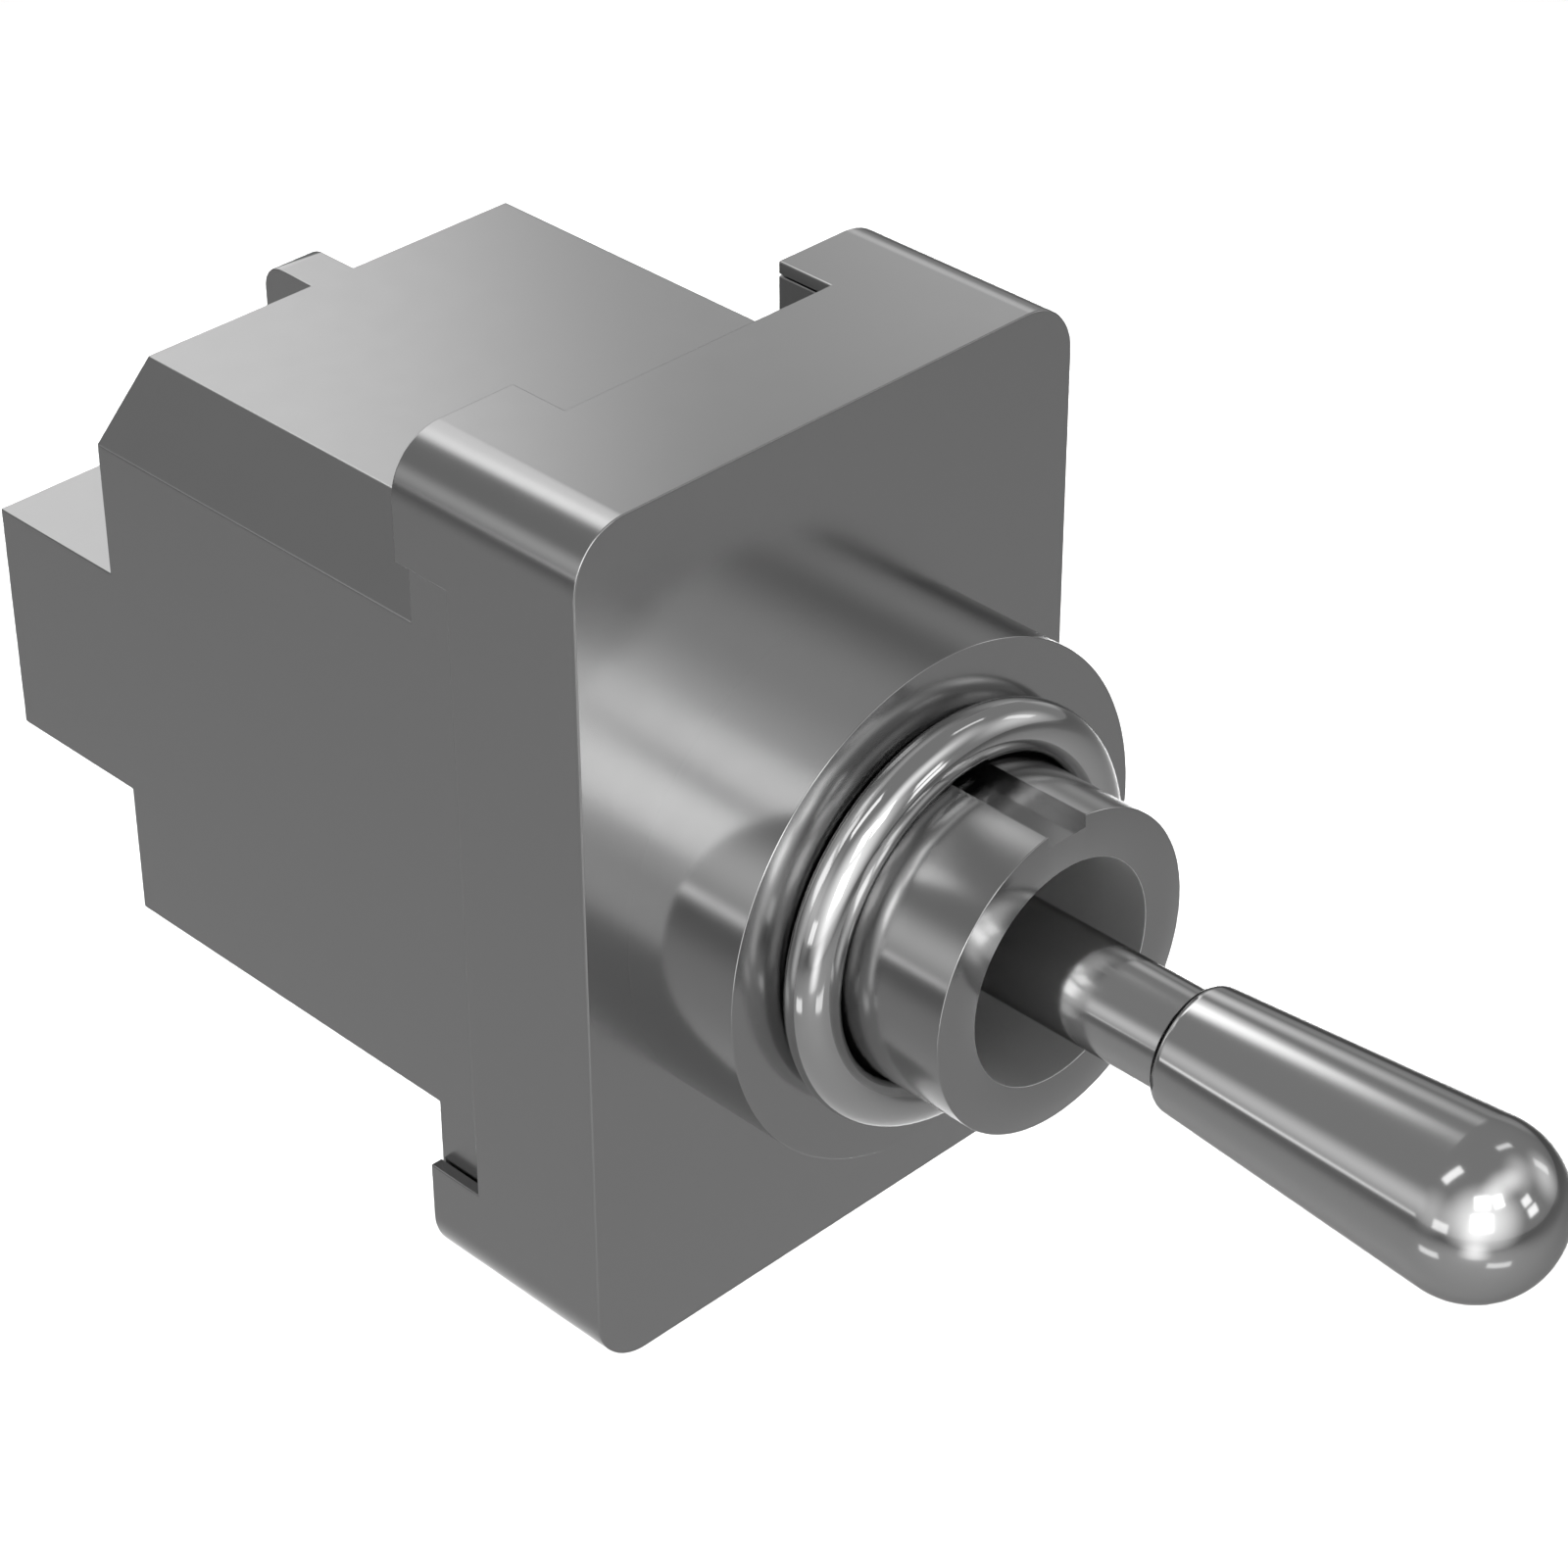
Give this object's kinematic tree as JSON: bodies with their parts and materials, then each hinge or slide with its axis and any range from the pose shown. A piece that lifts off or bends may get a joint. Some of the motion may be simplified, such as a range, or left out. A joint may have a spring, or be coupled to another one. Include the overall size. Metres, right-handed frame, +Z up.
{
  "type": "panel toggle switch",
  "caption": "Sealed panel toggle switch with a bat lever in a round bushing, a metal cover over a moulded case, and screw terminals at the back.",
  "frame": {"origin": "on the bushing's axis, in the plane of the collar's front face, where the panel rests", "axes": "+Z up towards the keyway, the lever along -Y in its centre position, the terminals towards +Y, +X to the right seen from the lever's side"},
  "size_m": [0.023, 0.065, 0.034],
  "materials": {
    "case_moulding": "glossy grey moulding",
    "cover_metal": "smooth grey sheet metal, glossy",
    "bushing_metal": "smooth turned grey metal, glossy",
    "ring_polished": "smooth and glossy grey",
    "lever_metal": "polished grey metal",
    "seal_rubber": "soft matt black",
    "pin_steel": "ground",
    "actuator_moulding": "plain moulding",
    "spring_steel": "drawn wire",
    "terminal_brass": "stamped, bright",
    "contact_metal": "bright contact metal",
    "screw_metal": "plated steel"
  },
  "bodies": {
    "housing": {"case": "case_moulding", "cover": "cover_metal", "cover_gasket": "seal_rubber", "bushing": "bushing_metal", "panel_seal_ring": "ring_polished", "lever_seal": "seal_rubber", "pivot_pin": "pin_steel", "pin_retainer": "cover_metal", "common_terminal_left": "terminal_brass", "common_terminal_right": "terminal_brass", "end_terminal_upper_left": "terminal_brass", "end_terminal_upper_right": "terminal_brass", "end_terminal_lower_left": "terminal_brass", "end_terminal_lower_right": "terminal_brass", "fixed_contacts": "contact_metal", "terminal_screws": "screw_metal", "terminal_lock_washers": "screw_metal"},
    "lever": {"lever": "lever_metal", "actuator": "actuator_moulding", "plunger_spring_left": "spring_steel", "plunger_spring_right": "spring_steel"},
    "plunger_left": {"plunger_left": "actuator_moulding"},
    "plunger_right": {"plunger_right": "actuator_moulding"},
    "rocker_left": {"contact_rocker_left": "terminal_brass", "rocker_contacts_left": "contact_metal"},
    "rocker_right": {"contact_rocker_right": "terminal_brass", "rocker_contacts_right": "contact_metal"}
  },
  "joints": [
    {"name": "lever_toggle", "type": "hinge", "parent": "housing", "child": "lever", "pos_m": [0, 0.0034, 0], "axis": [1, 0, 0], "range_deg": [-13, 13]},
    {"name": "rocker_left_turn", "type": "hinge", "parent": "housing", "child": "rocker_left", "pos_m": [-0.00483, 0.0222, 0], "axis": [1, 0, 0], "range_deg": [-7, 7]},
    {"name": "plunger_left_slide", "type": "slide", "parent": "lever", "child": "plunger_left", "axis": [0, 1, 0], "range_m": [-0.0012, 0], "stiffness_N_per_m": 400, "springref_m": 0.002, "deforming": ["plunger_spring_left"]},
    {"name": "rocker_right_turn", "type": "hinge", "parent": "housing", "child": "rocker_right", "pos_m": [0.00483, 0.0222, 0], "axis": [1, 0, 0], "range_deg": [-7, 7]},
    {"name": "plunger_right_slide", "type": "slide", "parent": "lever", "child": "plunger_right", "axis": [0, 1, 0], "range_m": [-0.0012, 0], "stiffness_N_per_m": 400, "springref_m": 0.002, "deforming": ["plunger_spring_right"]}
  ],
  "couplings": [
    {"joint": "rocker_left_turn", "follows": "lever_toggle", "ratio": -0.5},
    {"joint": "rocker_right_turn", "follows": "lever_toggle", "ratio": -0.5}
  ]
}
